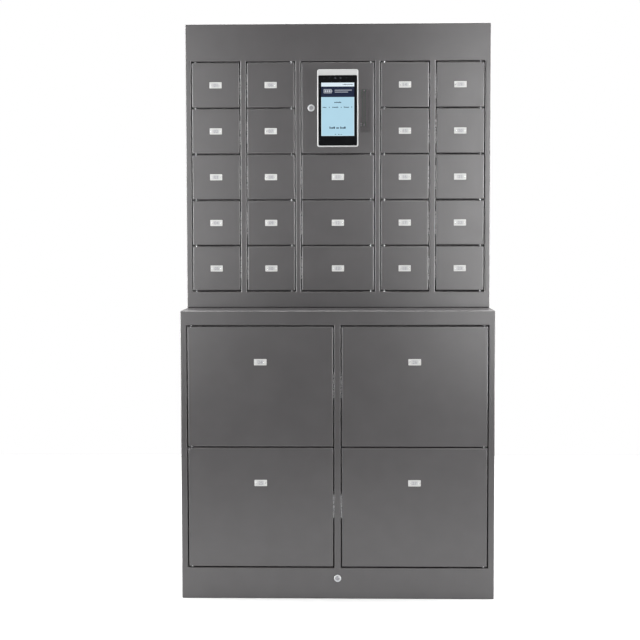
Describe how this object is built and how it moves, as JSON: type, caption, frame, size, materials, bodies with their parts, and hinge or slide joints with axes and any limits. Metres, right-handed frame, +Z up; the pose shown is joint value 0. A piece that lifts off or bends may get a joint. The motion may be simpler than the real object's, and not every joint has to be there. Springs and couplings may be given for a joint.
{
  "type": "phone charging kiosk",
  "caption": "Two-stage sheet-steel kiosk of small and large charging lockers with hinged doors, number plates and a payment terminal on its own door.",
  "frame": {"origin": "on the floor, at the centre of the lower cabinet's footprint", "axes": "+X to the right of a person facing the doors, +Y to the back, +Z up"},
  "size_m": [1, 0.5051, 1.855],
  "materials": {
    "powder_coat": "dark grey satin powder coat",
    "zinc_plated_steel": "zinc plated",
    "chromed_zinc": "chrome plated die-cast",
    "black_plastic": "fine matt",
    "white_plastic": "satin white",
    "cover_glass": "black printed cover glass over a lit display",
    "bare_aluminium": "plain",
    "green_board": "solder mask"
  },
  "bodies": {
    "cabinet": {"lower_side_panels": "powder_coat", "upper_side_panels": "powder_coat", "upper_dividers": "powder_coat", "lower_divider": "powder_coat", "lower_kick_rail": "powder_coat", "lower_header_rail": "powder_coat", "upper_sill_rail": "powder_coat", "upper_header_rail": "powder_coat", "lower_base_panel": "powder_coat", "lower_top_panel": "powder_coat", "upper_base_panel": "powder_coat", "upper_top_panel": "powder_coat", "lower_back_panel": "powder_coat", "upper_back_panel": "powder_coat", "rear_liners": "powder_coat", "shelves": "powder_coat", "hinge_pins": "zinc_plated_steel", "electric_locks": "zinc_plated_steel", "charging_ports": "black_plastic", "service_lock_barrel": "chromed_zinc", "power_supply": "bare_aluminium", "control_board": "green_board", "charger_modules": "bare_aluminium", "joining_bolts": "zinc_plated_steel", "mains_inlet": "black_plastic"},
    "door_01": {"door_01": "powder_coat"},
    "door_02": {"door_02": "powder_coat"},
    "door_03": {"door_03": "powder_coat"},
    "door_04": {"door_04": "powder_coat"},
    "door_05": {"door_05": "powder_coat"},
    "door_06": {"door_06": "powder_coat"},
    "door_07": {"door_07": "powder_coat"},
    "door_08": {"door_08": "powder_coat"},
    "door_09": {"door_09": "powder_coat"},
    "door_10": {"door_10": "powder_coat"},
    "door_11": {"door_11": "powder_coat"},
    "door_12": {"door_12": "powder_coat"},
    "door_13": {"door_13": "powder_coat"},
    "door_14": {"door_14": "powder_coat"},
    "door_15": {"door_15": "powder_coat"},
    "door_16": {"door_16": "powder_coat"},
    "door_17": {"door_17": "powder_coat"},
    "door_18": {"door_18": "powder_coat"},
    "door_19": {"door_19": "powder_coat"},
    "door_20": {"door_20": "powder_coat"},
    "door_21": {"door_21": "powder_coat"},
    "door_22": {"door_22": "powder_coat"},
    "door_23": {"door_23": "powder_coat"},
    "door_24": {"door_24": "powder_coat"},
    "door_25": {"door_25": "powder_coat"},
    "door_26": {"door_26": "powder_coat"},
    "door_27": {"door_27": "powder_coat"},
    "terminal_door": {"terminal_door": "powder_coat", "terminal_housing": "white_plastic", "terminal_glass": "cover_glass", "terminal_strap": "zinc_plated_steel", "terminal_lock_barrel": "chromed_zinc"},
    "terminal_lock_plug": {"terminal_lock_plug": "chromed_zinc", "terminal_lock_cam": "zinc_plated_steel"},
    "service_lock_plug": {"service_lock_plug": "chromed_zinc"}
  },
  "joints": [
    {"name": "door_01_hinge", "type": "hinge", "parent": "cabinet", "child": "door_01", "pos_m": [-0.4685, -0.053, 1.6544], "axis": [0, 0, -1], "range_deg": [0, 95]},
    {"name": "door_02_hinge", "type": "hinge", "parent": "cabinet", "child": "door_02", "pos_m": [-0.4685, -0.053, 1.5042], "axis": [0, 0, -1], "range_deg": [0, 95]},
    {"name": "door_03_hinge", "type": "hinge", "parent": "cabinet", "child": "door_03", "pos_m": [-0.4685, -0.053, 1.354], "axis": [0, 0, -1], "range_deg": [0, 95]},
    {"name": "door_04_hinge", "type": "hinge", "parent": "cabinet", "child": "door_04", "pos_m": [-0.4685, -0.053, 1.2038], "axis": [0, 0, -1], "range_deg": [0, 95]},
    {"name": "door_05_hinge", "type": "hinge", "parent": "cabinet", "child": "door_05", "pos_m": [-0.4685, -0.053, 1.0536], "axis": [0, 0, -1], "range_deg": [0, 95]},
    {"name": "door_06_hinge", "type": "hinge", "parent": "cabinet", "child": "door_06", "pos_m": [-0.1525, -0.053, 1.6544], "axis": [0, 0, 1], "range_deg": [0, 95]},
    {"name": "door_07_hinge", "type": "hinge", "parent": "cabinet", "child": "door_07", "pos_m": [-0.1525, -0.053, 1.5042], "axis": [0, 0, 1], "range_deg": [0, 95]},
    {"name": "door_08_hinge", "type": "hinge", "parent": "cabinet", "child": "door_08", "pos_m": [-0.1525, -0.053, 1.354], "axis": [0, 0, 1], "range_deg": [0, 95]},
    {"name": "door_09_hinge", "type": "hinge", "parent": "cabinet", "child": "door_09", "pos_m": [-0.1525, -0.053, 1.2038], "axis": [0, 0, 1], "range_deg": [0, 95]},
    {"name": "door_10_hinge", "type": "hinge", "parent": "cabinet", "child": "door_10", "pos_m": [-0.1525, -0.053, 1.0536], "axis": [0, 0, 1], "range_deg": [0, 95]},
    {"name": "door_11_hinge", "type": "hinge", "parent": "cabinet", "child": "door_11", "pos_m": [0.1085, -0.053, 1.354], "axis": [0, 0, 1], "range_deg": [0, 95]},
    {"name": "door_12_hinge", "type": "hinge", "parent": "cabinet", "child": "door_12", "pos_m": [0.1085, -0.053, 1.2038], "axis": [0, 0, 1], "range_deg": [0, 95]},
    {"name": "door_13_hinge", "type": "hinge", "parent": "cabinet", "child": "door_13", "pos_m": [0.1085, -0.053, 1.0536], "axis": [0, 0, 1], "range_deg": [0, 95]},
    {"name": "door_14_hinge", "type": "hinge", "parent": "cabinet", "child": "door_14", "pos_m": [0.1525, -0.053, 1.6544], "axis": [0, 0, -1], "range_deg": [0, 95]},
    {"name": "door_15_hinge", "type": "hinge", "parent": "cabinet", "child": "door_15", "pos_m": [0.1525, -0.053, 1.5042], "axis": [0, 0, -1], "range_deg": [0, 95]},
    {"name": "door_16_hinge", "type": "hinge", "parent": "cabinet", "child": "door_16", "pos_m": [0.1525, -0.053, 1.354], "axis": [0, 0, -1], "range_deg": [0, 95]},
    {"name": "door_17_hinge", "type": "hinge", "parent": "cabinet", "child": "door_17", "pos_m": [0.1525, -0.053, 1.2038], "axis": [0, 0, -1], "range_deg": [0, 95]},
    {"name": "door_18_hinge", "type": "hinge", "parent": "cabinet", "child": "door_18", "pos_m": [0.1525, -0.053, 1.0536], "axis": [0, 0, -1], "range_deg": [0, 95]},
    {"name": "door_19_hinge", "type": "hinge", "parent": "cabinet", "child": "door_19", "pos_m": [0.4685, -0.053, 1.6544], "axis": [0, 0, 1], "range_deg": [0, 95]},
    {"name": "door_20_hinge", "type": "hinge", "parent": "cabinet", "child": "door_20", "pos_m": [0.4685, -0.053, 1.5042], "axis": [0, 0, 1], "range_deg": [0, 95]},
    {"name": "door_21_hinge", "type": "hinge", "parent": "cabinet", "child": "door_21", "pos_m": [0.4685, -0.053, 1.354], "axis": [0, 0, 1], "range_deg": [0, 95]},
    {"name": "door_22_hinge", "type": "hinge", "parent": "cabinet", "child": "door_22", "pos_m": [0.4685, -0.053, 1.2038], "axis": [0, 0, 1], "range_deg": [0, 95]},
    {"name": "door_23_hinge", "type": "hinge", "parent": "cabinet", "child": "door_23", "pos_m": [0.4685, -0.053, 1.0536], "axis": [0, 0, 1], "range_deg": [0, 95]},
    {"name": "door_24_hinge", "type": "hinge", "parent": "cabinet", "child": "door_24", "pos_m": [-0.4665, -0.242, 0.68175], "axis": [0, 0, -1], "range_deg": [0, 110]},
    {"name": "door_25_hinge", "type": "hinge", "parent": "cabinet", "child": "door_25", "pos_m": [-0.4665, -0.242, 0.29425], "axis": [0, 0, -1], "range_deg": [0, 110]},
    {"name": "door_26_hinge", "type": "hinge", "parent": "cabinet", "child": "door_26", "pos_m": [0.4665, -0.242, 0.68175], "axis": [0, 0, 1], "range_deg": [0, 110]},
    {"name": "door_27_hinge", "type": "hinge", "parent": "cabinet", "child": "door_27", "pos_m": [0.4665, -0.242, 0.29425], "axis": [0, 0, 1], "range_deg": [0, 110]},
    {"name": "terminal_door_hinge", "type": "hinge", "parent": "cabinet", "child": "terminal_door", "pos_m": [0.1085, -0.053, 1.5808], "axis": [0, 0, 1], "range_deg": [0, 90]},
    {"name": "terminal_lock_turn", "type": "hinge", "parent": "terminal_door", "child": "terminal_lock_plug", "pos_m": [-0.087, -0.061, 1.5808], "axis": [0, 1, 0], "range_deg": [0, 90]},
    {"name": "service_lock_turn", "type": "hinge", "parent": "cabinet", "child": "service_lock_plug", "pos_m": [0, -0.25, 0.066], "axis": [0, 1, 0], "range_deg": [0, 90]}
  ]
}
